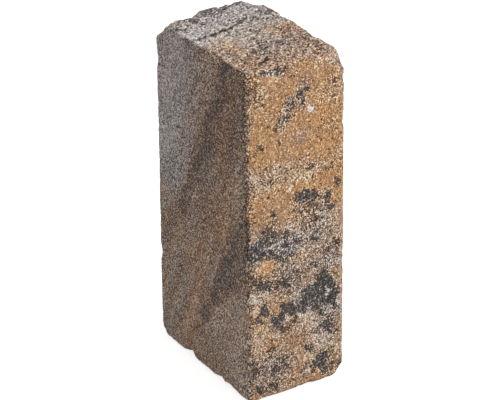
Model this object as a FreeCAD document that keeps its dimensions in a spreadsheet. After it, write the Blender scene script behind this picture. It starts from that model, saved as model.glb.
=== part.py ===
import FreeCAD, Part
import os
import Sketcher

# Tumbled concrete wall block, stood on its end.
# The block is pressed in one piece in a mould that has the outline of its bed face, then tumbled
# in a drum, which rounds every arris and knocks pieces off the corners.
# Frame: X across the two bed faces, Y from the show face (-Y) to the back, Z up along the length.
# The origin is the middle of the foot that the block stands on. All lengths are in millimetres.

SHEET = "sizes"
SAME_PLACE = 0.001

# The driving dimensions: alias, value, what it is.
DRIVING_SIZES = [
    ("block_width", 136.0, "between the two bed faces"),
    ("block_depth", 210.0, "from the show face to the back, at the foot"),
    ("block_length", 420.0, "end to end, upright as stored"),
    ("back_lean", 8.0, "how far the back face comes forward from foot to head"),
    ("left_front_wear", 5.0, "radius of the arris between left bed face and show face"),
    ("left_back_wear", 6.5, "radius of the arris between left bed face and back"),
    ("right_front_wear", 10.0, "radius of the arris between right bed face and show face"),
    ("right_back_wear", 12.0, "radius of the arris between right bed face and back"),
    ("head_wear", 4.5, "radius of the arrises round the head"),
    ("foot_wear", 8.0, "radius of the arrises round the foot"),
]

# Where the drum knocked a piece off. Each knock is a round scoop: its name, the way it faces along
# X, Y and Z, its place along the arris, the radius of the scoop, and how deep it bites into the
# worn arris. An arris knock has a zero for the axis that its arris runs along, and its place is
# the distance along that axis from the left bed face, the show face or the foot. A very large scoop
# is a long flat that the drum wore along an arris.
KNOCKS = [
    ("head_back_left", (-2, 3, 4), None, 60.0, 13.5),
    ("head_front_right", (3, -3, 2), None, 38.0, 12.0),
    ("foot_front_right", (3, -2, -3), None, 32.0, 7.5),
    ("foot_back_left", (-3, 2, -3), None, 30.0, 4.5),
    ("head_back_right", (3, 2, 3), None, 28.0, 8.0),
    ("foot_back_right", (2, 3, -3), None, 36.0, 6.0),
    ("left_back_low", (-1, 1, 0), 118.0, 22.0, 3.2),
    ("left_back_high", (-1, 1, 0), 372.0, 40.0, 2.4),
    ("left_front_high", (-1, -1, 0), 352.0, 15.0, 2.2),
    ("left_front_low", (-1, -2, 0), 128.0, 17.0, 2.4),
    ("left_foot_back", (-1, 0, -1), 140.0, 18.0, 7.5),
    ("left_foot_front", (-1, 0, -1), 65.0, 12.0, 4.4),
    ("left_head_front", (-1, 0, 2), 66.0, 17.0, 2.2),
    ("head_back_middle", (0, 2, 3), 35.0, 42.0, 9.0),
    ("front_foot_middle", (0, -1, -1), 84.0, 16.0, 1.8),
    ("right_back_middle", (1, 1, 0), 214.0, 28.0, 4.2),
    ("right_front_low", (1, -1, 0), 150.0, 20.0, 2.0),
    ("right_head_back", (1, 0, 1), 132.0, 20.0, 3.0),
    ("right_head_front", (1, 0, 1), 20.0, 1300.0, 3.8),
    ("right_foot_middle", (1, 0, -1), 92.0, 24.0, 3.4),
]


def cell(alias):
    """The way an expression names a size of the sheet."""
    return f"<<{SHEET}>>.{alias}"


def make_sheet(doc):
    """Writes the driving dimensions and the knocks' sizes into the spreadsheet."""
    sheet = doc.addObject("Spreadsheet::Sheet", SHEET)
    rows = list(DRIVING_SIZES)
    for name, facing, place, radius, bite in KNOCKS:
        rows.append((f"{name}_scoop", radius, "radius of this knock's scoop"))
        rows.append((f"{name}_bite", bite, "how deep it cuts into the worn arris"))
        if place is not None:
            rows.append((f"{name}_place", place, "where it is along its arris"))
    for row, (alias, value, meaning) in enumerate(rows, start=1):
        sheet.set(f"A{row}", meaning)
        sheet.set(f"B{row}", str(value))
        sheet.setAlias(f"B{row}", alias)
    doc.recompute()
    return sheet


def origin_plane(body, role):
    """One of the body's own origin planes."""
    return next(f for f in body.Origin.OriginFeatures if f.Role == role)


def sharp_corners(sheet):
    """The bed face's four corners before any wear, as (Y, Z): round from the foot of the show face."""
    half_depth = sheet.block_depth / 2
    return [
        (-half_depth, 0.0),
        (half_depth, 0.0),
        (half_depth - sheet.back_lean, sheet.block_length),
        (-half_depth, sheet.block_length),
    ]


def draw_bed_outline(body, sheet):
    """Sketches the bed face: four sides, of which the back leans a little forward."""
    sketch = body.newObject("Sketcher::SketchObject", "bed_outline")
    sketch.AttachmentSupport = [(origin_plane(body, "YZ_Plane"), "")]
    sketch.MapMode = "FlatFace"

    corners = [FreeCAD.Vector(y, z, 0) for y, z in sharp_corners(sheet)]
    sides = [sketch.addGeometry(Part.LineSegment(first, second))
             for first, second in zip(corners, corners[1:] + corners[:1])]
    start, end = 1, 2
    for side, following in zip(sides, sides[1:] + sides[:1]):
        sketch.addConstraint(Sketcher.Constraint("Coincident", side, end, following, start))
    foot_side, _, head_side, front_side = sides
    level_axis = -1
    origin = (level_axis, start)
    sketch.addConstraint(Sketcher.Constraint("Horizontal", foot_side))
    sketch.addConstraint(Sketcher.Constraint("Horizontal", head_side))
    sketch.addConstraint(Sketcher.Constraint("Vertical", front_side))
    sketch.addConstraint(Sketcher.Constraint("PointOnObject", foot_side, start, level_axis))

    def name_size(name, kind, first, second, value, expression):
        index = sketch.addConstraint(Sketcher.Constraint(kind, *first, *second, value))
        sketch.renameConstraint(index, name)
        sketch.setExpression(f"Constraints.{name}", expression)

    foot_front, foot_back, head_back, head_front = ((side, start) for side in sides)
    half_depth = sheet.block_depth / 2
    name_size("half_depth", "DistanceX", foot_front, origin, half_depth, f"{cell('block_depth')} / 2")
    name_size("depth", "DistanceX", foot_front, foot_back, sheet.block_depth, cell("block_depth"))
    name_size("back_lean", "DistanceX", head_back, foot_back, sheet.back_lean, cell("back_lean"))
    name_size("length", "DistanceY", foot_front, head_front, sheet.block_length, cell("block_length"))
    return sketch


def press(body, outline):
    """Pads the bed outline to the block's width, half to each side of the frame."""
    pressed = body.newObject("PartDesign::Pad", "pressed_block")
    pressed.Profile = (outline, [""])
    pressed.SideType = "Symmetric"
    pressed.setExpression("Length", cell("block_width"))
    return pressed


def upright_arris(feature, sheet, bed_way, depth_way):
    """The name of the edge up one corner of the block, on the bed and the show or back side given."""
    for number, edge in enumerate(feature.Shape.Edges, start=1):
        points = [vertex.Point for vertex in edge.Vertexes]
        on_bed = all(abs(p.x - bed_way * sheet.block_width / 2) < SAME_PLACE for p in points)
        on_side = all(p.y * depth_way > 0 for p in points)
        if on_bed and on_side and abs(points[0].z - points[-1].z) > sheet.block_length / 2:
            return f"Edge{number}"
    raise ValueError("this feature has no such upright arris")


def level_face(feature, way):
    """The name of the flat end face that looks up or down."""
    for number, face in enumerate(feature.Shape.Faces, start=1):
        if face.Surface.TypeId == "Part::GeomPlane" and face.normalAt(0, 0).z * way > 0.9:
            return f"Face{number}"
    raise ValueError("this feature has no such end face")


def wear(body, before, name, part_to_round):
    """Rounds one arris, or all the arrises round an end face, to the radius of the same name."""
    worn = body.newObject("PartDesign::Fillet", name)
    worn.Base = (before, [part_to_round])
    worn.setExpression("Radius", cell(name))
    return worn


def wear_at(facing):
    """The largest radius of the worn arrises that meet where a knock faces, as an expression."""
    x, y, z = facing
    names = []
    if x and y:
        names.append(f"{'left' if x < 0 else 'right'}_{'front' if y < 0 else 'back'}_wear")
    if z:
        names.append("foot_wear" if z < 0 else "head_wear")
    return f"max({'; '.join(cell(name) for name in names)})"


def knock_off(body, name, facing, place):
    """Scoops a piece off one arris, or off the corner where three arrises meet."""
    scoop = body.newObject("PartDesign::SubtractiveSphere", name)
    scoop.AttachmentSupport = [(origin_plane(body, "XY_Plane"), "")]
    scoop.MapMode = "FlatFace"
    scoop.setExpression("Radius", cell(f"{name}_scoop"))

    width, depth, length = (cell(alias) for alias in ("block_width", "block_depth", "block_length"))
    x, y, z = facing
    if place is not None:
        along = cell(f"{name}_place")
    height = length if z > 0 else "0" if z < 0 else along
    # The sharp arris or corner that the knock is at, with the back face's lean taken off.
    back_here = f"({depth} / 2 - {cell('back_lean')} * {height} / {length})"
    sharp = {
        "x": f"{along} - {width} / 2" if x == 0 else f"{'-' if x < 0 else ''}{width} / 2",
        "y": f"{along} - {depth} / 2" if y == 0 else f"-{depth} / 2" if y < 0 else back_here,
        "z": height,
    }
    # The scoop's middle lies outwards from the middle of the worn round, the way that the knock
    # faces, by both radii less the bite.
    rounding = wear_at(facing)
    outwards = f"({cell(f'{name}_scoop')} + {rounding} - {cell(f'{name}_bite')})"
    steepness = FreeCAD.Vector(facing).Length
    for axis, share in zip("xyz", facing):
        inwards = f" {'+' if share < 0 else '-'} {rounding}" if share else ""
        step = f" + {share / steepness:.6f} * {outwards}" if share else ""
        scoop.setExpression(f"AttachmentOffset.Base.{axis}", f"{sharp[axis]}{inwards}{step}")
    return scoop


def check_soundness(doc):
    """Recomputes, and stops if any object is left broken."""
    doc.recompute()
    for item in doc.Objects:
        if {"Invalid", "Error"} & set(item.State):
            raise RuntimeError(f"{item.Label} is {item.State}")


def make_block(doc, sheet):
    """The whole block as one body."""
    body = doc.addObject("PartDesign::Body", "wall_block")
    body.Label = "wall_block"
    worn = press(body, draw_bed_outline(body, sheet))
    check_soundness(doc)
    for bed, bed_way in (("left", -1), ("right", +1)):
        for side, depth_way in (("front", -1), ("back", +1)):
            arris = upright_arris(worn, sheet, bed_way, depth_way)
            worn = wear(body, worn, f"{bed}_{side}_wear", arris)
            check_soundness(doc)
    for end, way in (("head", +1), ("foot", -1)):
        worn = wear(body, worn, f"{end}_wear", level_face(worn, way))
        check_soundness(doc)
    for name, facing, place, _, _ in KNOCKS:
        knock_off(body, name, facing, place)
    check_soundness(doc)
    return body


def main():
    doc = FreeCAD.newDocument("wall_block")
    sheet = make_sheet(doc)
    block = make_block(doc, sheet)
    shape = block.Shape
    if shape.isNull() or not shape.isValid() or len(shape.Solids) != 1:
        raise RuntimeError("the block is not one sound solid")
    os.makedirs("parts", exist_ok=True)
    shape.exportStep(f"parts/{block.Label}.step")
    box = shape.BoundBox
    print(f"{block.Label}: {box.XLength:.1f} x {box.YLength:.1f} x {box.ZLength:.1f} mm, "
          f"{shape.Volume / 1e6:.3f} litres, {len(shape.Faces)} faces")


main()
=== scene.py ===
import math

import bpy
import numpy as np
from mathutils import Matrix, Vector, noise


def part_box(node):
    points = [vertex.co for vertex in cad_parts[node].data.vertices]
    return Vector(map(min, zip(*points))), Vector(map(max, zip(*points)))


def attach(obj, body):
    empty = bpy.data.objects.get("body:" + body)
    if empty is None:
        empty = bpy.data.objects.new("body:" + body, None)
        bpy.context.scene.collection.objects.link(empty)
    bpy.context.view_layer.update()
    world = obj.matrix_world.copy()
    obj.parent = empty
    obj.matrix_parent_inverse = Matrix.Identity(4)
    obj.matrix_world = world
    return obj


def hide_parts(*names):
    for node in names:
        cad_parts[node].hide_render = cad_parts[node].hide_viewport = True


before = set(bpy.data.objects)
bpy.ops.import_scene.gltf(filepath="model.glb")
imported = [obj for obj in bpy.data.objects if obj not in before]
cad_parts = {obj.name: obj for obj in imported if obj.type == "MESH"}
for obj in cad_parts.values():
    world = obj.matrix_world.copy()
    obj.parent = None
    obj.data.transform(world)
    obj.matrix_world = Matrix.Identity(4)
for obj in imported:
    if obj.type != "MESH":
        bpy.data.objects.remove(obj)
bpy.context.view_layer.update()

# The wall block.
# Ochre, rust, charcoal and pale grey mixes of semi-dry concrete are pressed together in a steel mould,
# cured, and tumbled in a drum. Its two bed faces keep the mould's fine skin, and the other faces are
# open and coarse. Lengths in this section are written in millimetres, and MM makes metres of them.

MM = 0.001
NODE = "wall_block"
low, high = (np.array(corner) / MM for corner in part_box(NODE))
middle = (low + high) / 2

# The even skin of small squares that carries the relief, closer than the coarse grit.
SKIN_SPACING = 1.92

block = bpy.data.objects.new("tumbled_block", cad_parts[NODE].data.copy())
bpy.context.scene.collection.objects.link(block)
even_skin = block.modifiers.new("even_skin", "REMESH")
even_skin.mode = "VOXEL"
even_skin.voxel_size = SKIN_SPACING * MM
skinned = block.evaluated_get(bpy.context.evaluated_depsgraph_get())
block.data = bpy.data.meshes.new_from_object(skinned)
block.modifiers.clear()
block.data.name = block.name

count = len(block.data.vertices)
worn = np.zeros(count * 3)
block.data.vertices.foreach_get("co", worn)
worn = worn.reshape(count, 3) / MM
outwards = np.zeros(count * 3)
block.data.vertex_normals.foreach_get("vector", outwards)
outwards = outwards.reshape(count, 3)


def ease(values, start, end):
    """Goes smoothly from 0 at start to 1 at end."""
    part = np.clip((values - start) / (end - start), 0, 1)
    return part * part * (3 - 2 * part)


# Each face of the block: the way it looks, and the two axes that places on it are measured along.
X, Y, Z = 0, 1, 2
FACES = {
    "left_bed": (X, -1, (Y, Z)),
    "right_bed": (X, +1, (Y, Z)),
    "show": (Y, -1, (X, Z)),
    "back": (Y, +1, (X, Z)),
    "foot": (Z, -1, (X, Y)),
    "head": (Z, +1, (X, Y)),
}

# How far each point belongs to each face, from 0 to 1, by the way that it looks.
share = {name: ease(outwards[:, axis] * way, 0.35, 0.9) for name, (axis, way, _) in FACES.items()}

# The left bed face's skin wraps round its arrises, and the right one's was worn back from them.
share["left_bed"] = ease(-outwards[:, X], 0.1, 0.45)
share["right_bed"] = ease(outwards[:, X], 0.5, 0.85)
bed_skin = share["left_bed"] + share["right_bed"]
open_share = sum(share[name] for name in ("show", "back", "foot", "head"))
for name in ("show", "back", "foot", "head"):
    share[name] *= (1 - bed_skin) / np.maximum(open_share, 0.001)

# How far each point is from the nearest arris: the second nearest of the three pairs of faces. The
# back comes forward by its lean from foot to head.
BACK_LEAN = 8.0
leaned = np.interp(worn[:, Z], [low[Z], high[Z]], [0.0, BACK_LEAN])
to_faces = np.minimum(worn - low, high - worn)
to_faces[:, Y] = np.minimum(worn[:, Y] - low[Y], high[Y] - leaned - worn[:, Y])
to_arris = np.sort(to_faces, axis=1)[:, 1]


def lumps(size, layers, start):
    """Rolling relief with a mean of 0 and a spread of 1, drawn from its own start in the noise.

    Its largest lumps are this many millimetres across, and each further layer's are about half that.
    """
    shift = Vector((start, -start, start / 2))
    field = np.array([noise.fractal(Vector(place) / size + shift, 0.9, 2.1, layers) for place in worn])
    return (field - field.mean()) / field.std()


def stones(size, start):
    """Round stones of this size: 1 at a stone's middle, going down to 0 between them."""
    shift = Vector((start, start, start))
    field = np.array([noise.voronoi(Vector(place) / size + shift)[0][0] for place in worn])
    return 1 - ease(field, 0.12, 0.62)


# How the edge of anything drawn on a face wavers, along each of the face's two axes.
ragged = np.stack([lumps(8.0, 3, 31.0), lumps(8.0, 3, 57.0)], axis=1)


def to_path(face, path, wander=0.0):
    """Distance of each point from a path on one face, in millimetres, with an edge that wanders."""
    across, along = FACES[face][2]
    spots = worn[:, (across, along)] + wander * ragged
    nearest = np.full(count, np.inf)
    ends = path[1:] if len(path) > 1 else path
    for (u0, v0), (u1, v1) in zip(path, ends):
        run = np.array([u1 - u0, v1 - v0], float)
        reach = max(run @ run, 1e-6)
        part = np.clip(((spots - (u0, v0)) @ run) / reach, 0, 1)
        nearest = np.minimum(nearest, np.linalg.norm(spots - (u0, v0) - part[:, None] * run, axis=1))
    return nearest


# Relief, as depth below the pressed face: its mean, the spread of the swells and of the grit, and
# how far stones stand out. The bed faces are nearly flat, and the head is the roughest. The wide
# swells are kept apart from the narrow hollows, because only the hollows get dust and painted shade.
rough = lumps(13.0, 3, 11.0)
gritty = lumps(4.6, 2, 19.0)
pebbles = stones(8.0, 5.0)
grit = stones(4.6, 8.0)
swells = 0.12 * lumps(70.0, 2, 3.0)
hollow = np.zeros(count)
for name, mean, coarse, fine, stony in (
    ("show", 0.50, 0.28, 0.22, 0.50),
    ("back", 0.55, 0.34, 0.24, 0.55),
    ("head", 0.70, 0.50, 0.75, 0.95),
    ("foot", 0.15, 0.16, 0.14, 0.25),
    ("left_bed", 0.25, 0.07, 0.10, 0.14),
    ("right_bed", 0.25, 0.07, 0.10, 0.14),
):
    swells += share[name] * (mean + coarse * rough)
    hollow += share[name] * (fine * gritty + stony * (0.35 - 0.5 * pebbles - 0.5 * grit))

# The drum bruises the arrises: small bites out of them everywhere, and a few wider knocks.
by_arris = 1 - ease(to_arris, 1.0, 8.0)
near_arris = 1 - ease(to_arris, 3.0, 14.0)
bites = np.clip(lumps(8.0, 2, 43.0) - 0.6, 0, 1.8)
knocks = np.clip(lumps(24.0, 2, 47.0) - 1.1, 0, 1.4)
KNOCK_DEPTH = 1.3
hollow += by_arris * bites
swells += near_arris * KNOCK_DEPTH * knocks

# The head has a lap where two charges of the mix met in the mould, a pit near the show face, and a
# shallow dent by the right bed face. Its marks have a path, a depth, and the half widths of their
# floor and their brim.
LAP = [(-70, 16), (-42, 17), (-33, 18), (-25, 22), (-15, 25), (-5, 27), (3, 30), (8, 34), (13, 38), (22, 41)]
PIT = [(-37, -87), (-29, -82), (-20, -77)]
DENT = [(68, 86), (68, 66)]
for path, deep, floor_to, brim_at in ((LAP, 3.6, 0.6, 3.4), (PIT, 2.4, 0.6, 3.2)):
    hollow += share["head"] * deep * (1 - ease(to_path("head", path, wander=0.6), floor_to, brim_at))
DENT_DEPTH = 4.0
swells += share["head"] * DENT_DEPTH * (1 - ease(to_path("head", DENT), 2.0, 14.0))

# No point stands proud of the pressed block.
depth = np.maximum(swells + hollow, 0)
relief = worn - outwards * depth[:, None]
relief = np.clip(relief, low, high)
block.data.vertices.foreach_set("co", (relief * MM).ravel())
block.data.shade_smooth()
block.data.update()

# Clouds of each mix, drawn on the faces that show them: the mix, the half width of the
# cloud, how strong it is (a minus takes that mix away), and its path in millimetres on the face.
OCHRE, SOOT, PALE, RUST = range(4)
CLOUDS = {
    "show": [
        # The grey and dark patches along the top of the show face, and its brown upper left.
        (OCHRE, 7, -0.70, [(-42, 419), (-16, 418)]),
        (SOOT, 5, 0.55, [(-40, 418), (-16, 416)]),
        (PALE, 5, 0.70, [(-34, 414), (-26, 407)]),
        (SOOT, 9, 0.38, [(-64, 408), (-56, 394), (-52, 386)]),
        (PALE, 4, 0.60, [(-48, 395), (-44, 393)]),
        (PALE, 3, 1.00, [(-63, 391)]),
        (PALE, 2.5, 0.90, [(-37, 388)]),
        (PALE, 3.5, 0.80, [(25, 413), (28, 417)]),
        (OCHRE, 9, -0.50, [(46, 420), (68, 410)]),
        (SOOT, 9, 0.18, [(46, 420), (68, 410)]),
        # The dark trail that runs down through the ochre, and the single pale stone beside it.
        (OCHRE, 7, -0.50, [(12, 396), (7, 384), (8, 370)]),
        (OCHRE, 7, -0.50, [(-8, 375), (-13, 360), (-20, 349)]),
        (SOOT, 7, 0.20, [(12, 396), (7, 384), (8, 370)]),
        (SOOT, 7, 0.20, [(-8, 375), (-13, 360), (-20, 349)]),
        (SOOT, 3.5, 0.60, [(4, 384), (3, 380)]),
        (SOOT, 3, 0.60, [(12, 387)]),
        (SOOT, 2.5, 0.60, [(10, 396)]),
        (SOOT, 2.5, 0.50, [(6, 371), (10, 369)]),
        (SOOT, 3, 0.36, [(-10, 374), (-4, 367)]),
        (SOOT, 3, 0.42, [(-13, 360), (-10, 352)]),
        (SOOT, 3.5, 0.30, [(-20, 350)]),
        (PALE, 4, 0.35, [(11, 365), (24, 356)]),
        # Single dark grains and thin grey patches in the ochre.
        (SOOT, 8, 0.15, [(44, 389), (54, 383)]),
        (SOOT, 2.5, 0.70, [(50, 386)]),
        (SOOT, 3, 0.45, [(-5, 404), (1, 408)]),
        (SOOT, 8, 0.09, [(30, 374), (50, 366)]),
        (SOOT, 3, 0.70, [(-51, 329), (-45, 326)]),
        (SOOT, 2.5, 0.80, [(-54, 320)]),
        (SOOT, 2.5, 0.60, [(-27, 328), (-22, 327)]),
        (SOOT, 2, 0.80, [(-17, 315)]),
        (SOOT, 2, 0.90, [(-41, 299)]),
        (SOOT, 2, 0.80, [(-29, 343)]),
        (OCHRE, 7, -0.40, [(4, 328), (12, 330)]),
        (OCHRE, 5, -0.35, [(28, 328)]),
        (SOOT, 7, 0.12, [(40, 337), (47, 331)]),
        # The pale speckled band between the ochre and the black.
        (OCHRE, 14, -0.25, [(-62, 285), (-20, 290), (28, 285)]),
        (SOOT, 14, 0.07, [(-50, 290), (-20, 286), (50, 286)]),
        (PALE, 12, 0.17, [(-62, 285), (-20, 282), (28, 282)]),
        (PALE, 5, 0.60, [(-58, 290), (-52, 283)]),
        (PALE, 4, 0.65, [(4, 278), (17, 277)]),
        (PALE, 3, 0.60, [(-32, 296), (-29, 297)]),
        (PALE, 3, 0.55, [(25, 288), (31, 289)]),
        (PALE, 2.5, 0.80, [(-38, 273)]),
        (PALE, 2.5, 0.80, [(-9, 267)]),
        (SOOT, 3, 0.60, [(-34, 280)]),
        (SOOT, 3, 0.50, [(16, 289), (23, 289)]),
        (SOOT, 5, 0.25, [(46, 284), (52, 280)]),
        (RUST, 9, 0.30, [(14, 266), (52, 268)]),
        (SOOT, 3, 0.85, [(53, 263), (58, 256)]),
        # The upper black cloud, its tail to the right, and the salt and pepper under it.
        (OCHRE, 16, -0.18, [(10, 240), (26, 232), (30, 220)]),
        (PALE, 15, 0.24, [(10, 240), (26, 232), (30, 220)]),
        (SOOT, 15, 0.38, [(12, 240), (26, 234), (24, 220)]),
        (SOOT, 5, 0.85, [(-2, 254), (8, 254), (20, 255)]),
        (SOOT, 5, 0.90, [(10, 256), (17, 256)]),
        (SOOT, 4, 0.70, [(9, 250), (20, 247), (28, 247)]),
        (SOOT, 3, 0.80, [(41, 247), (47, 247)]),
        (SOOT, 3, 0.75, [(40, 243), (42, 236), (46, 231)]),
        (SOOT, 4, 0.75, [(44, 231), (49, 230)]),
        (SOOT, 4, 0.45, [(24, 238), (26, 232)]),
        (PALE, 4.5, 0.80, [(34, 253), (42, 250)]),
        (RUST, 6, 0.45, [(46, 240)]),
        (PALE, 4, 0.70, [(34, 237), (38, 241)]),
        (PALE, 5, 0.85, [(33, 227), (36, 223)]),
        (PALE, 3.5, 0.70, [(6, 238), (8, 234)]),
        (PALE, 3.5, 0.60, [(8, 222)]),
        (PALE, 3.5, 0.60, [(54, 226)]),
        (SOOT, 3, 0.50, [(-6, 236), (2, 238)]),
        (RUST, 5, 0.35, [(-6, 232), (0, 240)]),
        (SOOT, 2, 0.90, [(-33, 244), (-31, 237)]),
        (SOOT, 2, 0.70, [(-47, 247)]),
        (SOOT, 3, 0.60, [(-57, 236)]),
        (PALE, 2.5, 0.80, [(-42, 240)]),
        (PALE, 2.5, 0.80, [(-60, 251)]),
        # The slate cloud at the left arris, and the grey field that it lies in.
        (OCHRE, 16, -0.55, [(-58, 206), (-30, 206), (-12, 200)]),
        (PALE, 13, 0.26, [(-50, 190), (-26, 196), (-16, 216)]),
        (SOOT, 14, 0.20, [(-56, 200), (-30, 200), (-10, 208)]),
        (SOOT, 5, 0.48, [(-46, 214), (-40, 218), (-33, 217)]),
        (SOOT, 4, 0.40, [(-45, 225), (-29, 227)]),
        (SOOT, 6, 0.34, [(-60, 201), (-54, 203), (-42, 208), (-34, 213)]),
        (SOOT, 4, 0.30, [(-60, 196), (-50, 200)]),
        (SOOT, 4, 0.42, [(-24, 213), (-14, 212)]),
        (SOOT, 3, 0.60, [(-17, 200), (-16, 196)]),
        (SOOT, 3, 0.45, [(-38, 193), (-33, 187), (-29, 182)]),
        (SOOT, 3.5, 0.34, [(-60, 190), (-46, 190)]),
        (PALE, 4, 0.80, [(-29, 202), (-24, 198)]),
        (PALE, 3.5, 0.70, [(-14, 222), (-9, 218)]),
        (RUST, 4, 0.60, [(-27, 215)]),
        (RUST, 4, 0.50, [(-60, 215)]),
        # The beige field to its right, with single stones.
        (OCHRE, 24, -0.40, [(8, 200), (40, 196), (52, 176)]),
        (OCHRE, 14, -0.12, [(-20, 178), (16, 168), (50, 152)]),
        (SOOT, 14, 0.12, [(-20, 178), (16, 168), (50, 152)]),
        (PALE, 24, 0.10, [(8, 200), (40, 196), (52, 176)]),
        (SOOT, 18, 0.15, [(8, 200), (40, 190), (52, 176)]),
        (SOOT, 3, 0.65, [(20, 195), (28, 193)]),
        (SOOT, 2, 0.90, [(21, 199)]),
        (SOOT, 3, 0.45, [(-4, 198), (6, 196)]),
        (SOOT, 2, 0.90, [(-11, 183), (-4, 184)]),
        (SOOT, 8, 0.30, [(44, 176), (57, 182)]),
        (SOOT, 3, 0.50, [(44, 176)]),
        (PALE, 3, 0.90, [(2, 184)]),
        (PALE, 3.5, 0.80, [(-23, 166)]),
        (PALE, 3, 0.80, [(-8, 162)]),
        (PALE, 2.5, 0.90, [(-23, 156), (-15, 155)]),
        (RUST, 4, 0.75, [(0, 177)]),
        (RUST, 4, 0.25, [(12, 178)]),
        # The grey speckle round the orange lump.
        (OCHRE, 14, -0.40, [(-66, 190), (-22, 188), (-14, 168)]),
        (SOOT, 12, 0.24, [(-64, 190), (-22, 188), (-16, 168)]),
        (SOOT, 8, 0.20, [(-64, 170), (-62, 160), (-20, 160)]),
        # The dark speckled band over the large black cloud.
        (OCHRE, 12, -0.35, [(-60, 154), (-10, 150), (20, 156), (56, 160)]),
        (OCHRE, 14, -0.28, [(-44, 140), (-10, 136)]),
        (SOOT, 15, 0.15, [(-46, 150), (-8, 142)]),
        (SOOT, 6, 0.42, [(-60, 158), (-50, 160), (-44, 150)]),
        (SOOT, 6, 0.40, [(-32, 150), (-15, 150), (4, 152)]),
        (SOOT, 5, 0.45, [(-20, 144), (-12, 136)]),
        (SOOT, 5, 0.30, [(10, 156), (26, 160)]),
        (SOOT, 4, 0.60, [(-52, 148), (-46, 149)]),
        (SOOT, 4, 0.55, [(-66, 152)]),
        (PALE, 5, 0.75, [(-63, 144), (-58, 136)]),
        (PALE, 2.5, 0.70, [(-47, 141)]),
        # The large black cloud with its white stones.
        (OCHRE, 18, -0.60, [(14, 124), (36, 124), (48, 106)]),
        (SOOT, 6, 0.95, [(12, 127), (12, 115)]),
        (SOOT, 11, 0.95, [(18, 120), (30, 118), (38, 114)]),
        (SOOT, 8, 0.85, [(24, 130), (33, 134), (35, 144)]),
        (SOOT, 5, 0.75, [(42, 138), (48, 130)]),
        (SOOT, 6, 0.90, [(48, 126), (51, 116), (49, 108)]),
        (SOOT, 4, 0.45, [(24, 106), (30, 98), (33, 92)]),
        (SOOT, 5, 0.28, [(45, 102), (54, 97)]),
        (PALE, 2.5, 1.40, [(43, 122), (43, 116)]),
        (SOOT, 2.5, -1.00, [(43, 122), (43, 116)]),
        (PALE, 2.5, 1.00, [(37, 111)]),
        (PALE, 2.5, 1.00, [(40, 134)]),
        (PALE, 3, 0.90, [(20, 132)]),
        (PALE, 4, 0.40, [(26, 127), (38, 126)]),
        (PALE, 4, 0.50, [(58, 118), (59, 106)]),
        # The tail of that cloud, down to the left.
        (OCHRE, 9, -0.50, [(-28, 102), (-8, 111), (6, 110)]),
        (SOOT, 5, 1.60, [(-20, 112), (-8, 111), (6, 108)]),
        (SOOT, 4, 0.50, [(-19, 117), (-8, 117)]),
        (SOOT, 5, 1.40, [(-30, 102), (-22, 105)]),
        (SOOT, 4, 0.60, [(-29, 99), (-22, 91)]),
        (SOOT, 3, 0.50, [(-6, 95), (-2, 97)]),
        (SOOT, 6, 0.40, [(-22, 86), (-12, 88)]),
        (PALE, 4, 0.45, [(-13, 98), (-8, 103)]),
        (PALE, 2.5, 1.40, [(-7, 115)]),
        (PALE, 4, 0.50, [(-27, 80), (-22, 78)]),
        # The dark hook and pale lumps at the left arris, and the bright ochre below.
        (SOOT, 4, 1.15, [(-56, 106), (-51, 112), (-45, 118), (-44, 123)]),
        (SOOT, 3, 0.40, [(-38, 117)]),
        (PALE, 9, 0.45, [(-62, 138), (-52, 127)]),
        (PALE, 4, 0.70, [(-55, 120)]),
        (PALE, 5, 0.35, [(-41, 97)]),
        (RUST, 12, 0.25, [(-56, 100), (-54, 66)]),
        (PALE, 12, 0.28, [(-56, 92), (-54, 70)]),
        (PALE, 4, 0.60, [(-55, 76)]),
        (RUST, 7, 0.85, [(-40, 74), (-34, 73)]),
        (SOOT, 2, 0.90, [(-33, 88)]),
        (SOOT, 2, 0.60, [(-38, 66), (-28, 67)]),
        # The pale field and small dark marks at the lower right.
        (OCHRE, 16, -0.20, [(18, 100), (34, 84), (40, 56)]),
        (PALE, 10, 0.30, [(8, 100), (22, 94), (16, 80)]),
        (PALE, 8, 0.30, [(22, 65), (32, 62), (40, 57)]),
        (PALE, 14, 0.20, [(24, 44), (52, 44)]),
        (SOOT, 6, 0.80, [(44, 74), (49, 70), (50, 65)]),
        (SOOT, 6, 0.22, [(36, 94), (42, 84), (54, 88)]),
        (SOOT, 4, 0.45, [(20, 71), (30, 74), (38, 78)]),
        (SOOT, 3, 0.50, [(34, 93)]),
        (SOOT, 2.5, 0.80, [(23, 85)]),
        (SOOT, 2.5, 0.90, [(12, 56), (14, 52), (20, 49)]),
        (RUST, 13, 0.22, [(-8, 64), (0, 50), (0, 32)]),
        # The black corner cloud over the foot.
        (SOOT, 6, 1.00, [(24, 27), (32, 28), (38, 26)]),
        (SOOT, 5, 0.85, [(34, 35), (42, 35)]),
        (SOOT, 5, 0.80, [(29, 20), (38, 16)]),
        (SOOT, 3, 0.80, [(6, 22), (11, 26)]),
        (SOOT, 6, 0.40, [(50, 14), (58, 20)]),
        (PALE, 2.5, 1.20, [(12, 26), (15, 22)]),
        (PALE, 2, 1.40, [(34, 27)]),
        (PALE, 5, 0.50, [(12, 36), (21, 36)]),
        (RUST, 3.5, 0.55, [(19, 10), (28, 13)]),
        (SOOT, 5, -0.60, [(17, 9), (32, 12)]),
        (RUST, 5, 0.55, [(-62, 8), (-50, 7)]),
        # The brown and dark speckle at the lower left.
        (OCHRE, 60, -0.26, [(-60, 60), (50, 60)]),
        (SOOT, 60, 0.05, [(-60, 60), (50, 60)]),
        (PALE, 20, 0.08, [(-46, 64), (-24, 112)]),
        (PALE, 60, 0.05, [(-60, 60), (50, 60)]),
        (OCHRE, 18, -0.20, [(-60, 40), (-40, 26), (-24, 42)]),
        (SOOT, 18, 0.28, [(-60, 40), (-42, 22), (-24, 40)]),
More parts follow.
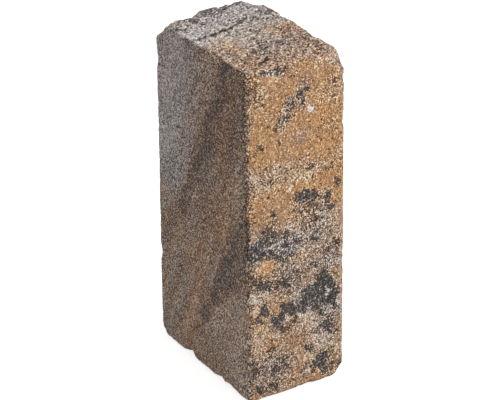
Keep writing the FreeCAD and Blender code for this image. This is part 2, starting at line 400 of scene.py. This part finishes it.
        (PALE, 16, 0.22, [(-60, 30), (-34, 26)]),
        (SOOT, 5, 0.50, [(-66, 44), (-58, 43)]),
        (SOOT, 3.5, 0.55, [(-35, 30), (-30, 38)]),
        (SOOT, 3, 0.65, [(-37, 18), (-31, 13)]),
        (SOOT, 4, 0.50, [(-51, 18), (-46, 9)]),
        (SOOT, 2, 0.90, [(-19, 30)]),
        (SOOT, 7, 0.25, [(-24, 48), (-20, 44)]),
        # The dark rim of its arris with the left bed face.
        (SOOT, 5, 0.40, [(-68, 415), (-68, 290), (-68, 160), (-68, 10)]),
    ],
    "left_bed": [
        # The dark rim of its arris with the show face.
        (SOOT, 7, 0.20, [(-104, 415), (-104, 290), (-104, 160), (-104, 10)]),
        # The cool grey field of its upper back, with a pale edge.
        (OCHRE, 48, -0.85, [(64, 420), (68, 350), (90, 270)]),
        (RUST, 48, -0.25, [(64, 420), (68, 350), (90, 270)]),
        (PALE, 46, 0.92, [(64, 420), (68, 350), (90, 270)]),
        (PALE, 10, 0.18, [(2, 408), (10, 385), (22, 355), (36, 325), (56, 290)]),
        (PALE, 14, 0.22, [(-22, 400), (-24, 372), (-4, 338), (6, 302), (30, 268), (62, 224), (84, 208)]),
        # Its first dark streak, darkest at the head and halfway down, and the brown on the show face's side.
        (SOOT, 14, 0.46, [(-62, 416), (-54, 386), (-38, 348), (-28, 323), (-10, 292), (8, 266)]),
        (SOOT, 6, 0.26, [(-64, 416), (-57, 388), (-44, 356), (-32, 326)]),
        (SOOT, 7, 0.42, [(-18, 302), (-4, 283), (6, 272)]),
        (SOOT, 4, 0.40, [(-66, 414), (-62, 392)]),
        (SOOT, 13, 0.34, [(8, 266), (26, 228), (38, 202), (58, 174), (88, 152)]),
        (SOOT, 6, 0.34, [(32, 216), (44, 196)]),
        (SOOT, 24, 0.32, [(-86, 410), (-80, 360), (-80, 320)]),
        (SOOT, 30, 0.18, [(-60, 330), (-50, 260), (-20, 190)]),
        (RUST, 16, 0.16, [(-44, 310), (-56, 330), (-70, 370)]),
        (RUST, 22, 0.30, [(-60, 280), (-44, 240), (-36, 196)]),
        (PALE, 8, 0.18, [(-92, 250), (-80, 240), (-62, 212), (-44, 178)]),
        # Its second dark streak, which forks towards the show face, and the warmer band behind it.
        (SOOT, 13, 0.46, [(-102, 236), (-82, 206), (-62, 172), (-44, 136), (-26, 110), (-6, 82), (8, 56)]),
        (SOOT, 20, 0.26, [(-100, 200), (-84, 176), (-66, 150)]),
        (SOOT, 5, 0.30, [(-66, 176), (-54, 158), (-42, 132), (-28, 110)]),
        (SOOT, 5, 0.44, [(-42, 134), (-30, 116)]),
        (SOOT, 5, 0.44, [(-10, 88), (-2, 72)]),
        (SOOT, 8, 0.36, [(-102, 188), (-82, 158), (-64, 128)]),
        (PALE, 8, 0.22, [(-86, 142), (-84, 130)]),
        (PALE, 6, 0.20, [(-70, 98), (-66, 90)]),
        (PALE, 6, 0.16, [(-14, 112)]),
        (PALE, 34, 0.38, [(-80, 90), (-70, 30)]),
        (PALE, 40, 0.42, [(10, 90), (50, 40)]),
        (OCHRE, 30, -0.08, [(-80, 90), (-70, 30)]),
        (RUST, 16, 0.34, [(-4, 160), (8, 110), (24, 62), (38, 22)]),
        (SOOT, 10, 0.16, [(70, 40), (80, 12)]),
    ],
    "back": [
        # The upper arris, which is grey like the head behind its lap, with painted shade along it as on the
        # head.
        (OCHRE, 18, -1.30, [(-68, 412), (68, 412)]),
        (RUST, 18, -1.00, [(-68, 412), (68, 412)]),
        (PALE, 16, 0.24, [(-68, 412), (68, 412)]),
        # Painted shade along the arris.
        (SOOT, 9, 0.34, [(-40, 412), (40, 412)]),
    ],
    "head": [
        # Light grey behind with a lap darkened by painted shade, and brown in front with orange tints.
        (OCHRE, 40, -0.36, [(-60, 34), (50, 62)]),
        (RUST, 40, -0.34, [(-60, 34), (50, 62)]),
        (PALE, 40, 0.46, [(-60, 38), (50, 66)]),
        (PALE, 26, 0.44, [(-50, 0), (10, 10)]),
        (OCHRE, 22, -0.16, [(-50, 4), (10, 12)]),
        (PALE, 26, 0.34, [(-60, 60), (-40, 60)]),
        (OCHRE, 14, -0.40, [(-68, 100), (60, 100)]),
        (RUST, 14, -0.30, [(-68, 100), (60, 100)]),
        # Painted shade along the head's back arris.
        (SOOT, 8, 0.20, [(-50, 96), (0, 98)]),
        (SOOT, 7, 0.45, [(-12, 86), (-2, 85), (15, 89), (34, 93), (54, 90)]),
        (SOOT, 4, 0.55, [(-62, 55), (-54, 49)]),
        (SOOT, 4, 0.55, [(-30, 58), (-25, 54)]),
        (SOOT, 4, 0.50, [(-36, 74), (-28, 66)]),
        (SOOT, 3, 0.60, [(10, 72)]),
        (SOOT, 5, 0.55, [(48, 47), (56, 50)]),
        (SOOT, 4, 0.45, [(50, 24)]),
        (SOOT, 4, 0.45, [(29, 38), (32, 33)]),
        # Painted shade along the lap's groove.
        (SOOT, 2.5, 0.50, [(-66, 17), (-50, 16)]),
        (SOOT, 3.5, 0.95, [(-42, 17), (-33, 17), (-24, 22), (-20, 23)]),
        (SOOT, 2.5, 0.80, [(-20, 23), (-8, 25), (2, 29), (8, 34), (13, 38)]),
        (PALE, 34, -0.16, [(-50, -66), (50, -62)]),
        (RUST, 34, 0.05, [(-50, -66), (50, -62)]),
        (RUST, 11, 0.50, [(-38, -14), (-36, -36)]),
        (RUST, 9, 0.50, [(28, -10), (44, -12), (58, -6)]),
        (RUST, 12, 0.35, [(-50, -78), (-20, -100), (40, -102)]),
        (PALE, 24, 0.26, [(-60, 10), (-40, -40)]),
        (PALE, 15, 0.10, [(-22, -16), (4, -12)]),
        (OCHRE, 15, -0.12, [(-22, -16), (4, -12)]),
        (OCHRE, 16, -0.30, [(-12, -48), (40, -44)]),
        (SOOT, 4, 0.55, [(-8, -46), (-2, -42)]),
        (SOOT, 3.5, 0.65, [(-16, -55), (-11, -52)]),
        (SOOT, 3.5, 0.60, [(16, -44), (20, -42)]),
        (SOOT, 4, 0.55, [(42, -47), (47, -45)]),
        (SOOT, 3.5, 0.55, [(52, -26)]),
        (SOOT, 5, 0.35, [(-65, -25), (-48, -24)]),
        (SOOT, 4, 0.60, [(44, -84)]),
        # Painted shade in the pit.
        (SOOT, 3, 0.95, [(-37, -87), (-29, -82), (-20, -77)]),
        (PALE, 3, 0.80, [(48, -28)]),
        (PALE, 3, 0.60, [(22, -34)]),
        (PALE, 4, 0.40, [(-5, -57), (6, -62)]),
    ],
}

# What each face starts from: its shares of ochre, charcoal, pale grey and rust.
GROUND = {
    "show": (0.88, 0.06, 0.06, 0.06),
    "back": (0.60, 0.28, 0.16, 0.10),
    "head": (0.26, 0.08, 0.30, 0.32),
    "foot": (0.50, 0.22, 0.16, 0.05),
    "left_bed": (0.42, 0.12, 0.06, 0.12),
    "right_bed": (0.48, 0.20, 0.08, 0.10),
}
mixes = np.zeros((count, 4))
for name, amounts in GROUND.items():
    mixes += share[name][:, None] * np.array(amounts)

# The mixes drift slowly from place to place, and more on the faces that have few clouds or none.
DRIFT = np.array([0.06, 0.03, 0.03, 0.05])
UNDRAWN_DRIFT = np.array([0.15, 0.18, 0.10, 0.06])
drift = np.stack([lumps(55.0, 4, start) for start in (101.0, 113.0, 127.0, 139.0)], axis=1)
undrawn = (share["back"] + 0.3 * share["right_bed"] + share["foot"])[:, None]
mixes += drift * (DRIFT + undrawn * UNDRAWN_DRIFT)

# A cloud is at its full strength up to a tenth of its half width and is gone at nearly twice it. Its
# edge wanders by half of its half width, up to a limit.
FULL_TO, GONE_AT = 0.1, 1.8
WIDEST_WANDER = 3.0
for face, clouds in CLOUDS.items():
    for mix, half_width, strength, path in clouds:
        away = to_path(face, path, wander=min(half_width * 0.5, WIDEST_WANDER))
        cloud = 1 - ease(away, half_width * FULL_TO, half_width * GONE_AT)
        mixes[:, mix] += share[face] * strength * cloud

# The charge slid as it was pressed, and drew the bed faces' mixes out into fine slanting streaks. On
# the right bed face, which the photo doesn't show, broad ones stand for the drawn ones. Each has
# its mix, its strength, how wide it is, where it is, and its start in the noise.
SLIDE = math.atan2(-125, 230)
STREAK_LENGTH = 90
STREAK_DEPTH = 30
across_slide = worn[:, Y] * math.cos(SLIDE) + worn[:, Z] * -math.sin(SLIDE)
down_slide = worn[:, Y] * math.sin(SLIDE) + worn[:, Z] * math.cos(SLIDE)
for mix, strength, wide, where, start in (
    (OCHRE, 0.08, 9, bed_skin, 151.0),
    (RUST, 0.05, 9, bed_skin, 157.0),
    (SOOT, 0.09, 9, bed_skin, 163.0),
    (PALE, 0.04, 9, bed_skin, 173.0),
    (OCHRE, 0.18, 26, share["right_bed"], 181.0),
    (SOOT, 0.14, 26, share["right_bed"], 193.0),
    (PALE, 0.12, 26, share["right_bed"], 211.0),
):
    drawn_out = np.stack([worn[:, X] / STREAK_DEPTH, across_slide / wide, down_slide / STREAK_LENGTH], axis=1)
    shift = Vector((start, start, start))
    streaks = np.array([noise.fractal(Vector(place) + shift, 0.6, 2.0, 4) for place in drawn_out])
    mixes[:, mix] += where * strength * streaks / streaks.std()

# Where clouds of one mix overlap, what is over a crowded share counts for less.
CROWDED = 0.45
for mix, gain in ((SOOT, 0.65), (PALE, 0.55)):
    over = np.maximum(mixes[:, mix] - CROWDED, 0)
    mixes[:, mix] -= (1 - gain) * over

# Charcoal drowns the pigments where it is thick, a little less so in the fine skin, and pale grey
# takes the place of part of the ochre.
drowned = ease(mixes[:, SOOT], 0.40, 0.85) * (0.9 - 0.2 * bed_skin)
mixes[:, [OCHRE, RUST]] *= 1 - drowned[:, None]
mixes[:, OCHRE] *= 1 - 0.6 * ease(mixes[:, PALE], 0.50, 0.85)

# Even the thickest cloud leaves a few grains of the other mixes uncovered.
for mix, most in ((SOOT, 0.76), (PALE, 0.85)):
    mixes[:, mix] = np.minimum(mixes[:, mix], most)

# One lump of orange mix stayed whole in the charge, and one white pebble lies by the dark trail near
# the head. Each has its path on the show face, how far its edge wanders, the half widths where the
# edge starts and ends, and what it is made of. The material knows the pebble by its pale grey, which
# is more than any cloud's.
for path, wander, whole_to, gone_at, made_of in (
    ([(-49, 174), (-43, 176), (-36, 176)], 1.2, 6.0, 8.2, (1.0, 0.0, 0.44, 0.50)),
    ([(17, 360), (20, 359)], 0.7, 3.0, 5.4, (0.15, 0.0, 1.0, 0.0)),
):
    inside = share["show"] * (1 - ease(to_path("show", path, wander), whole_to, gone_at))
    mixes += inside[:, None] * (np.array(made_of) - mixes)

# The mixes go into the mesh as one colour attribute. The fine skin of the bed faces, the coarse ends
# and the depth of the hollows go in as a number each.
mix_shares = block.data.color_attributes.new("mix_shares", "FLOAT_COLOR", "POINT")
mix_shares.data.foreach_set("color", np.clip(mixes, 0, 1).ravel())
ends = share["head"] + share["foot"]
for name, values in (("bed_skin", bed_skin), ("open_ends", ends), ("hollow", hollow)):
    stored = block.data.attributes.new(name, "FLOAT", "POINT")
    stored.data.foreach_set("value", values)

# The six faces unfold side by side onto one square, so that colours can be baked onto them. Each face
# has its left and lower edge here, in millimetres on a square of this side.
NET_SIDE = 708
NET = {
    "left_bed": (2, 2),
    "right_bed": (216, 2),
    "show": (430, 2),
    "back": (570, 2),
    "head": (2, 428),
    "foot": (142, 428),
}
corners = np.zeros(len(block.data.loops), int)
block.data.loops.foreach_get("vertex_index", corners)
squares = len(block.data.polygons)
starts, corner_counts = np.zeros(squares, int), np.zeros(squares, int)
block.data.polygons.foreach_get("loop_start", starts)
block.data.polygons.foreach_get("loop_total", corner_counts)
looks = np.stack([outwards[corners, axis] * way for axis, way, _ in FACES.values()])
facing = np.repeat(np.add.reduceat(looks, starts, axis=1).argmax(axis=0), corner_counts)
unfolded = np.zeros((len(corners), 2))
for number, (name, (_, _, (across, along))) in enumerate(FACES.items()):
    here = facing == number
    unfolded[here] = worn[corners[here]][:, (across, along)] - low[[across, along]] + NET[name]
net = block.data.uv_layers.new(name="OFBake")
net.data.foreach_set("uv", (unfolded / NET_SIDE).ravel())


def linear(code):
    """An sRGB hex colour as linear red, green, blue and alpha."""
    parts = [int(code[i:i + 2], 16) / 255 for i in (1, 3, 5)]
    return [p / 12.92 if p <= 0.04045 else ((p + 0.055) / 1.055) ** 2.4 for p in parts] + [1.0]


def add(tree, kind, inputs=None, stops=None, out=0, **settings):
    """Adds a node with its settings, its inputs and a ramp's stops, and gives the output that is used.

    Inputs go by name or by number. A Map Range's are its value, the range that it comes from and the
    range that it goes to. A Mix's are its share, then the two it mixes, 2 and 3 or for colours 6 and 7.
    """
    made = tree.nodes.new(kind)
    for name, value in settings.items():
        setattr(made, name, value)
    for socket, value in (inputs or {}).items():
        if isinstance(value, bpy.types.NodeSocket):
            tree.links.new(value, made.inputs[socket])
        else:
            made.inputs[socket].default_value = value
    if stops:
        ramp = made.color_ramp
        while len(ramp.elements) < len(stops):
            ramp.elements.new(0.5)
        for element, (where, code) in zip(ramp.elements, stops):
            element.position = where
            element.color = linear(code)
    return made.outputs[out] if made.outputs else made


# Pressed concrete, tumbled: dull, rough and grainy. Each grain of sand takes the lightness of the mix
# that it lies in, so that a cloud's edge breaks up grain by grain and two mixes together look like
# salt and pepper.
concrete = bpy.data.materials.new("tumbled_mixed_concrete")
concrete.use_nodes = True
tree = concrete.node_tree
tree.nodes.clear()
place = add(tree, "ShaderNodeTexCoord", out="Object")

# Grains aren't quite round: their outlines are nudged by up to half of this, over this length.
NUDGE, NUDGE_LENGTH = 1.6 * MM, 3.0 * MM
nudge = add(tree, "ShaderNodeTexNoise", {
    "Vector": place, "Scale": 1 / NUDGE_LENGTH, "Detail": 1.0}, out="Color")
nudge = add(tree, "ShaderNodeVectorMath", {0: nudge, 1: (0.5, 0.5, 0.5)}, operation="SUBTRACT")
spot = add(tree, "ShaderNodeVectorMath", {0: nudge, 1: (NUDGE,) * 3, 2: place}, operation="MULTIPLY_ADD")

# Grains in three sizes, in millimetres, each with its own draws from 0 to 1. The real fines are well
# under 1 mm, and here they are as small as the render can show.
GRAINS = {"fines": 1.15, "sand": 2.1, "stones": 5.0}
reach = {}
draws = {}
for name, size in GRAINS.items():
    grains = add(tree, "ShaderNodeTexVoronoi", {"Vector": spot, "Scale": 1 / (size * MM)}).node.outputs
    reach[name] = grains["Distance"]
    draws[name] = add(tree, "ShaderNodeSeparateColor", {0: grains["Color"]}).node.outputs

# Grains lie close packed, so a light one mostly has darker ones round it. On the ends they were
# dragged across the block's width as it left the mould. The noise keeps near its middle, so it is
# spread out over the whole way from 0 to 1.
PACKED_GRAIN, DRAGGED_GRAIN = 1.45 * MM, 1.40 * MM
SPREAD, SPREAD_FROM = (3.2,) * 3, (-1.1,) * 3
packed = add(tree, "ShaderNodeTexNoise", {
    "Vector": place, "Scale": 1 / PACKED_GRAIN, "Detail": 0.0}, out="Color")
stretched = add(tree, "ShaderNodeVectorMath", {0: place, 1: (0.5, 1.0, 1.0)}, operation="MULTIPLY")
dragged = add(tree, "ShaderNodeTexNoise", {
    "Vector": stretched, "Scale": 1 / DRAGGED_GRAIN, "Detail": 0.0}, out="Color")
at_ends = add(tree, "ShaderNodeAttribute", out="Fac", attribute_name="open_ends")
packed = add(tree, "ShaderNodeMix", {0: at_ends, 6: packed, 7: dragged}, out=2, data_type="RGBA")
packed = add(tree, "ShaderNodeVectorMath", {0: packed, 1: SPREAD, 2: SPREAD_FROM}, operation="MULTIPLY_ADD")
draws["packed"] = add(tree, "ShaderNodeSeparateColor", {0: packed}).node.outputs

# The shares of the mixes as the mesh has them. A mix's grains keep together in clumps of this size.
CLUMP = 7 * MM
shares = add(tree, "ShaderNodeAttribute", out="Color", attribute_name="mix_shares")
rust_share = shares.node.outputs["Alpha"]
ochre_share, soot_share, pale_share = add(tree, "ShaderNodeSeparateColor", {0: shares}).node.outputs[:3]
fine_skin = add(tree, "ShaderNodeAttribute", out="Fac", attribute_name="bed_skin")
clump = add(tree, "ShaderNodeTexNoise", {"Vector": place, "Scale": 1 / CLUMP, "Detail": 2.0}, out="Color")
clump = add(tree, "ShaderNodeSeparateColor", {0: clump}).node.outputs


def grains_of(share_here, channel):
    """How far a spot belongs to a mix: in clumps and grain by grain on the show face and the back.

    The mixes lie evenly in the fine skin, and the ends are halfway between the two.
    """
    there = add(tree, "ShaderNodeMapRange", {0: share_here, 1: 0.0, 2: 0.4, 3: 0.13, 4: 0.9})
    swell = add(tree, "ShaderNodeMath", {0: clump[channel], 1: 0.5}, operation="SUBTRACT")
    swell = add(tree, "ShaderNodeMath", {0: swell, 1: there, 2: share_here}, operation="MULTIPLY_ADD")
    draw = add(tree, "ShaderNodeMath", {0: draws["packed"][channel], 1: 0.30}, operation="MULTIPLY")
    for grains, weight in (("sand", 0.42), ("fines", 0.14)):
        drawn = draws[grains][channel]
        draw = add(tree, "ShaderNodeMath", {0: drawn, 1: weight, 2: draw}, operation="MULTIPLY_ADD")
    ahead = add(tree, "ShaderNodeMath", {0: swell, 1: draw}, operation="SUBTRACT")
    by_grain = add(tree, "ShaderNodeMath", {
        0: ahead, 1: 8.0, 2: 0.5}, operation="MULTIPLY_ADD", use_clamp=True)
    even = add(tree, "ShaderNodeMath", {0: at_ends, 1: 0.5, 2: fine_skin}, operation="MULTIPLY_ADD")
    return add(tree, "ShaderNodeMix", {0: even, 2: by_grain, 3: share_here}, data_type="FLOAT")


soot_here = grains_of(soot_share, "Red")
pale_here = grains_of(pale_share, "Green")

# Each grain's swing about its mix's lightness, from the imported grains, the fines and the sand, whose
# grains are dots that fade towards their edges.
swing = add(tree, "ShaderNodeMath", {0: draws["packed"]["Blue"], 1: 0.36, 2: -0.36}, operation="MULTIPLY_ADD")
swing = add(tree, "ShaderNodeMath", {0: draws["fines"]["Blue"], 1: 0.36, 2: swing}, operation="MULTIPLY_ADD")
dot = add(tree, "ShaderNodeMapRange", {0: reach["sand"], 1: 0.2, 2: 0.6, 3: 0.85, 4: 0.0})
side = add(tree, "ShaderNodeMath", {0: draws["sand"]["Blue"], 1: 0.5}, operation="SUBTRACT")
swing = add(tree, "ShaderNodeMath", {0: dot, 1: side, 2: swing}, operation="MULTIPLY_ADD")

# The grains differ least in plain ochre and more where mixes meet. The ends and the fine skin have
# a contrast of their own, charcoal's grains are all dark, and a pebble is one stone.
mixed = add(tree, "ShaderNodeMath", {0: pale_share, 1: 0.33, 2: soot_share}, operation="MULTIPLY_ADD")
contrast = add(tree, "ShaderNodeMapRange", {0: mixed, 1: 0.08, 2: 0.30, 3: 0.74, 4: 2.2})
pebble = add(tree, "ShaderNodeMapRange", {0: pale_share, 1: 0.90, 2: 0.99})
for where, its_contrast in ((at_ends, 2.15), (fine_skin, 2.35), (soot_here, 1.1), (pebble, 0.5)):
    contrast = add(tree, "ShaderNodeMix", {0: where, 2: contrast, 3: its_contrast}, data_type="FLOAT")

# Lightness, from 0 for black basalt to 1 for white quartz: the mix's own, and its grain's swing about
# it.
SOOT_LEVEL = 0.09
level = add(tree, "ShaderNodeMapRange", {0: fine_skin, 3: 0.52, 4: 0.46})
pale_level = add(tree, "ShaderNodeMapRange", {0: pale_share, 1: 0.6, 2: 0.9, 3: 0.78, 4: 1.05})
level = add(tree, "ShaderNodeMix", {0: pale_here, 2: level, 3: pale_level}, data_type="FLOAT")
level = add(tree, "ShaderNodeMix", {0: soot_here, 2: level, 3: SOOT_LEVEL}, data_type="FLOAT")
level = add(tree, "ShaderNodeMath", {0: swing, 1: contrast, 2: level}, operation="MULTIPLY_ADD")

# A few stones at the surface are whole quartz or basalt grains, 2 to 3 mm across: which channel draws
# them, how many of the stones they are, and whether they are lighter or darker.
whole = add(tree, "ShaderNodeMapRange", {0: reach["stones"], 1: 0.32, 2: 0.24})
bared = add(tree, "ShaderNodeMapRange", {0: fine_skin, 3: 0.62, 4: 0.40})
whole = add(tree, "ShaderNodeMath", {0: bared, 1: whole}, operation="MULTIPLY")
for channel, how_many, way in (("Red", 0.11, 1.0), ("Green", 0.06, -1.0)):
    least = 1 - how_many
    chosen = add(tree, "ShaderNodeMath", {0: draws["stones"][channel], 1: least}, operation="GREATER_THAN")
    chosen = add(tree, "ShaderNodeMath", {0: chosen, 1: whole}, operation="MULTIPLY")
    level = add(tree, "ShaderNodeMath", {0: chosen, 1: way, 2: level}, operation="MULTIPLY_ADD")

# The pigments tint the paste evenly, whatever the lightness of its grains.
LEVELS = (0.0, 0.25, 0.5, 0.75, 1.0)
GREY = ("#222121", "#585350", "#978E88", "#CDC3BD", "#F7F1EC")
OCHRE_TINT = ("#402812", "#80552C", "#C08E5A", "#E8BC8A", "#FDE5C0")
RUST_TINT = ("#462714", "#8E5730", "#CC8B5A", "#EABA8B", "#FCE1BE")
grey, ochre, rust = (add(tree, "ShaderNodeValToRGB", {0: level}, stops=list(zip(LEVELS, codes)))
                     for codes in (GREY, OCHRE_TINT, RUST_TINT))
colour = add(tree, "ShaderNodeMix", {0: ochre_share, 6: grey, 7: ochre}, out=2, data_type="RGBA")
colour = add(tree, "ShaderNodeMix", {0: rust_share, 6: colour, 7: rust}, out=2, data_type="RGBA")

# The bed faces' skin of cement paste is a little darker and redder. The crevices between the grains of
# sand are darkened with dust and painted shade, and the deeper hollows of the relief more so.
crevice_dust_and_shade = add(tree, "ShaderNodeMapRange", {0: reach["sand"], 1: 0.38, 2: 0.78, 3: 0.0, 4: 0.45})
hollow_depth = add(tree, "ShaderNodeAttribute", out="Fac", attribute_name="hollow")
hollow_dust_and_shade = add(tree, "ShaderNodeMapRange", {0: hollow_depth, 1: 0.15, 2: 1.6, 3: 0.0, 4: 0.80})
for how_far, code in ((fine_skin, "#F1EEEF"), (crevice_dust_and_shade, "#6E6155"), (hollow_dust_and_shade, "#3C3530")):
    darker = {0: how_far, 6: colour, 7: linear(code)}
    colour = add(tree, "ShaderNodeMix", darker, out=2, data_type="RGBA", blend_type="MULTIPLY")

# Grain relief too fine for the mesh, from the fines and the sand. The fine skin is smoother. Dry
# concrete scatters light like chalk, with the IOR of its sand and cement.
RELIEF_DEPTH = 0.7 * MM
height = add(tree, "ShaderNodeMath", {0: reach["fines"], 1: -0.6, 2: 1.2}, operation="MULTIPLY_ADD")
height = add(tree, "ShaderNodeMath", {0: reach["sand"], 1: -0.6, 2: height}, operation="MULTIPLY_ADD")
graininess = add(tree, "ShaderNodeMapRange", {0: fine_skin, 3: 1.0, 4: 0.55})
bump = add(tree, "ShaderNodeBump", {"Strength": graininess, "Distance": RELIEF_DEPTH, "Height": height})
surface = add(tree, "ShaderNodeBsdfPrincipled", {
    "Base Color": colour, "Roughness": 0.92, "IOR": 1.5, "Normal": bump})
add(tree, "ShaderNodeOutputMaterial", {"Surface": surface})
block.data.materials.clear()
block.data.materials.append(concrete)

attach(block, "root")
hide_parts(NODE)

# The studio floor.
# A matt white floor that goes on past the picture. What the camera sees of it is nearly white, and it
# keeps the block's soft shadow. From here on lengths are in metres.
FLOOR_SIDE = 14.0
FLOOR_LIFT = 0.70


def seen_by_rays(tree):
    """1 for the rays that show a surface itself: the camera's, and a mirror's or a lens's."""
    rays = add(tree, "ShaderNodeLightPath").node.outputs
    most = rays["Is Camera Ray"]
    for kind in ("Is Glossy Ray", "Is Transmission Ray"):
        most = add(tree, "ShaderNodeMath", {0: most, 1: rays[kind]}, operation="MAXIMUM")
    return most


floor_mesh = bpy.data.meshes.new("studio_floor")
half = FLOOR_SIDE / 2
floor_corners = [(-half, -half, 0), (half, -half, 0), (half, half, 0), (-half, half, 0)]
floor_mesh.from_pydata(floor_corners, [], [(0, 1, 2, 3)])
floor = bpy.data.objects.new("studio_floor", floor_mesh)
bpy.context.scene.collection.objects.link(floor)
paint = bpy.data.materials.new("matt_white_floor_paint")
paint.use_nodes = True
tree = paint.node_tree
tree.nodes.clear()
lit = add(tree, "ShaderNodeBsdfDiffuse", {"Color": linear("#E6E6E6")})
seen = add(tree, "ShaderNodeBsdfDiffuse", {"Color": (1.0, 1.0, 1.0, 1.0)})
lift = add(tree, "ShaderNodeEmission", {"Strength": FLOOR_LIFT})
seen = add(tree, "ShaderNodeAddShader", {0: seen, 1: lift})
choice = add(tree, "ShaderNodeMixShader", {0: seen_by_rays(tree), 1: lit, 2: seen})
add(tree, "ShaderNodeOutputMaterial", {"Surface": choice})
floor_mesh.materials.append(paint)

# The studio light.
# An even sky, a large soft lamp over the show face's right, and a much weaker one on the left bed
# face's side. Together they light a surface so that its colour comes out about as written.
world = bpy.data.worlds.new("studio_sky")
bpy.context.scene.world = world
world.use_nodes = True
tree = world.node_tree
tree.nodes.clear()
sky = add(tree, "ShaderNodeBackground", {"Color": (1.0, 1.0, 1.0, 1.0), "Strength": 0.38})
white = add(tree, "ShaderNodeBackground", {"Color": (1.0, 1.0, 1.0, 1.0), "Strength": 1.0})
choice = add(tree, "ShaderNodeMixShader", {0: seen_by_rays(tree), 1: sky, 2: white})
add(tree, "ShaderNodeOutputWorld", {"Surface": choice})

centre = Vector(middle * MM)


def hang_lamp(name, side, way, distance, level):
    """Hangs a square soft lamp, this way and far from the block, that gives this share of full light."""
    lamp = bpy.data.lights.new(name, "AREA")
    lamp.size = side
    lamp.energy = level * math.pi ** 2 * distance ** 2
    hung = bpy.data.objects.new(name, lamp)
    bpy.context.scene.collection.objects.link(hung)
    hung.location = centre + Vector(way).normalized() * distance
    hung.rotation_euler = (hung.location - centre).to_track_quat("Z", "Y").to_euler()


hang_lamp("key_lamp", 0.9, (0.65, -0.80, 0.90), 1.9, 0.74)
hang_lamp("side_lamp", 0.9, (-0.90, -0.35, 0.55), 1.9, 0.06)

# The camera.
# It stands where the photograph was taken from: in front, to the left and a little above, with a long
# lens that fills the picture with the block. Its aim is off the block's centre by a millimetre or two.
PICTURE_WIDTH, FOCAL_PIXELS = 500, 2212
AZIMUTH, ELEVATION, ROLL = (math.radians(angle) for angle in (-31.28, 25.77, 0.77))
CAMERA_DISTANCE = 2.619
AIM_RIGHT, AIM_UP = 0.0006, -0.0018
back = Vector((
    math.sin(AZIMUTH) * math.cos(ELEVATION),
    -math.cos(AZIMUTH) * math.cos(ELEVATION),
    math.sin(ELEVATION),
))
right = Vector((math.cos(AZIMUTH), math.sin(AZIMUTH), 0))
up = back.cross(right)
lens = bpy.data.cameras.new("view")
lens.lens = FOCAL_PIXELS / PICTURE_WIDTH * lens.sensor_width
camera = bpy.data.objects.new("view", lens)
bpy.context.scene.collection.objects.link(camera)
turned_right = math.cos(ROLL) * right - math.sin(ROLL) * up
turned_up = math.sin(ROLL) * right + math.cos(ROLL) * up
stand = centre + AIM_RIGHT * right + AIM_UP * up + CAMERA_DISTANCE * back
turn = Matrix((turned_right, turned_up, back)).transposed()
camera.matrix_world = Matrix.Translation(stand) @ turn.to_4x4()
bpy.context.scene.camera = camera
bpy.context.scene.view_settings.view_transform = "Standard"
